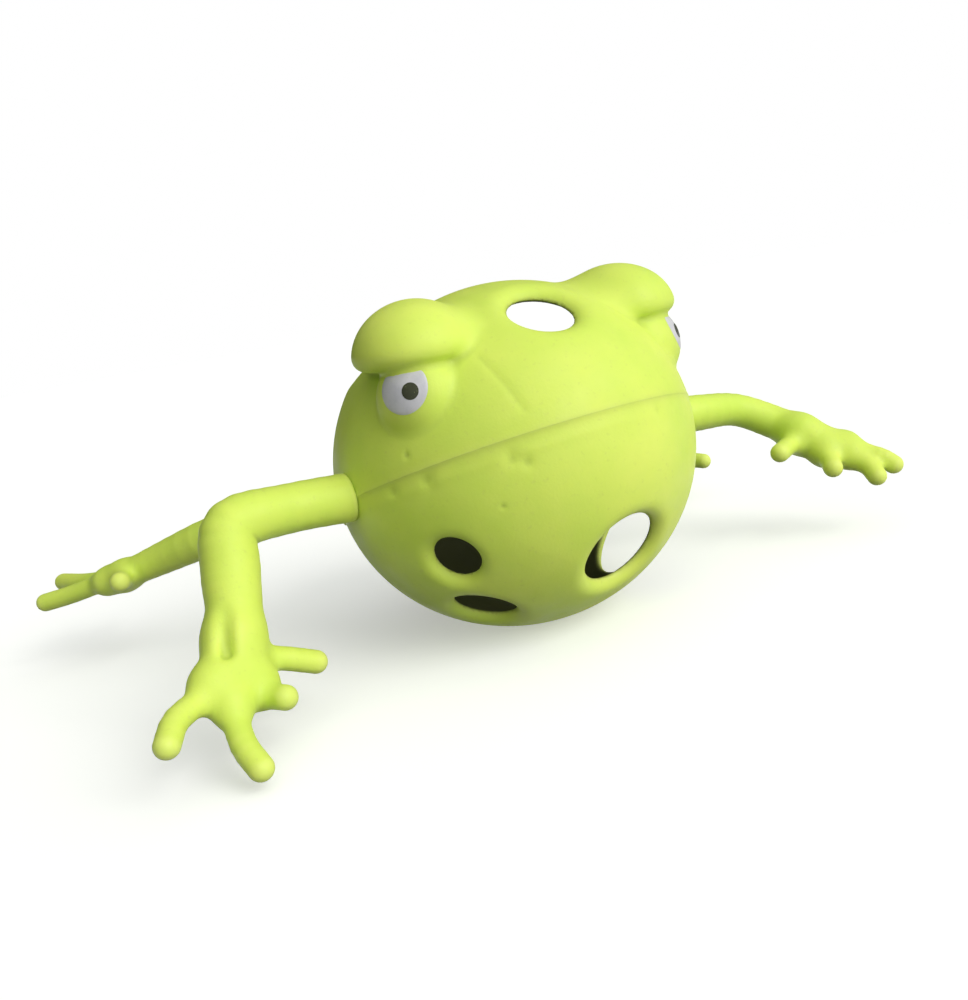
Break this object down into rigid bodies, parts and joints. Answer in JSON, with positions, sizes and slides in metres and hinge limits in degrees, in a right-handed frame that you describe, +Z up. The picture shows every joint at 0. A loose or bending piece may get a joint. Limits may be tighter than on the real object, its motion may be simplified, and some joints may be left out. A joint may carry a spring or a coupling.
{
  "type": "ball frog toy",
  "caption": "Soft lime rubber frog with a hollow ball body full of round holes, heavy brows, printed eyes and long splayed arms and legs.",
  "frame": {"origin": "centre of the flat patch under the belly that the frog stands on", "axes": "the frog faces -Y, +X is its left, +Z is up"},
  "size_m": [0.2098, 0.1367, 0.0791],
  "materials": {
    "lime_rubber": "matte, slightly translucent",
    "eye_white_ink": "printed, satin",
    "pupil_ink": "printed, satin"
  },
  "bodies": {
    "ball": {"head_shell": "lime_rubber", "belly_shell": "lime_rubber", "right_eye_white": "eye_white_ink", "left_eye_white": "eye_white_ink", "right_pupil": "pupil_ink", "left_pupil": "pupil_ink"},
    "right_arm_body": {"right_arm": "lime_rubber"},
    "left_arm_body": {"left_arm": "lime_rubber"},
    "right_leg_body": {"right_leg": "lime_rubber"},
    "left_leg_body": {"left_leg": "lime_rubber"}
  },
  "joints": [
    {"name": "right_shoulder_twist", "type": "hinge", "parent": "ball", "child": "right_arm_body", "pos_m": [-0.04, -0.0014, 0.0389], "axis": [1, 0, 0], "range_deg": [-60, 20]},
    {"name": "left_shoulder_twist", "type": "hinge", "parent": "ball", "child": "left_arm_body", "pos_m": [0.04, -0.0014, 0.0389], "axis": [1, 0, 0], "range_deg": [-60, 20]},
    {"name": "right_hip_twist", "type": "hinge", "parent": "ball", "child": "right_leg_body", "pos_m": [-0.0324, 0.0211, 0.0322], "axis": [-0.809, 0.5636, -0.1669], "range_deg": [-45, 45]},
    {"name": "left_hip_twist", "type": "hinge", "parent": "ball", "child": "left_leg_body", "pos_m": [0.0324, 0.0211, 0.0322], "axis": [0.809, 0.5636, -0.1669], "range_deg": [-45, 45]}
  ]
}
